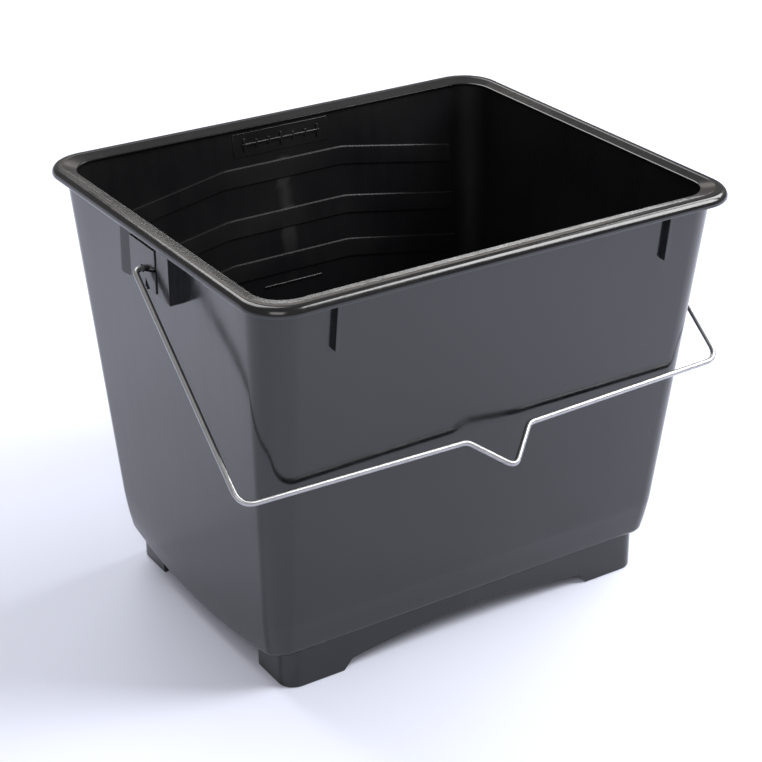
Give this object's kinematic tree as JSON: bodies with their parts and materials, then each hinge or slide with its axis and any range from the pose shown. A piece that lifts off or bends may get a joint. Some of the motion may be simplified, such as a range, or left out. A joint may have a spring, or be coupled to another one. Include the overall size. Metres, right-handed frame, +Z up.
{
  "type": "rectangular bucket with bail handle",
  "caption": "Rectangular moulded plastic bucket, tapered and footed, with a rolled rim, side bosses and a swinging wire bail handle that has a centring notch.",
  "frame": {"origin": "on the ground, under the middle of the bucket", "axes": "+X along the long sides, from one handle pivot to the other; +Y from the front wall, where the bail hangs, to the back wall; +Z up"},
  "size_m": [0.2154, 0.176, 0.169],
  "materials": {
    "black_plastic": "semi-gloss moulded black polypropylene with light handling scratches",
    "zinc_wire": "bright zinc-plated steel wire"
  },
  "bodies": {
    "bucket": {"bucket_body": "black_plastic"},
    "bail": {"bail_handle": "zinc_wire"}
  },
  "joints": [
    {"name": "bail_swing", "type": "hinge", "parent": "bucket", "child": "bail", "pos_m": [0, 0, 0.1546], "axis": [-1, 0, 0], "range_deg": [0, 257.6]}
  ]
}
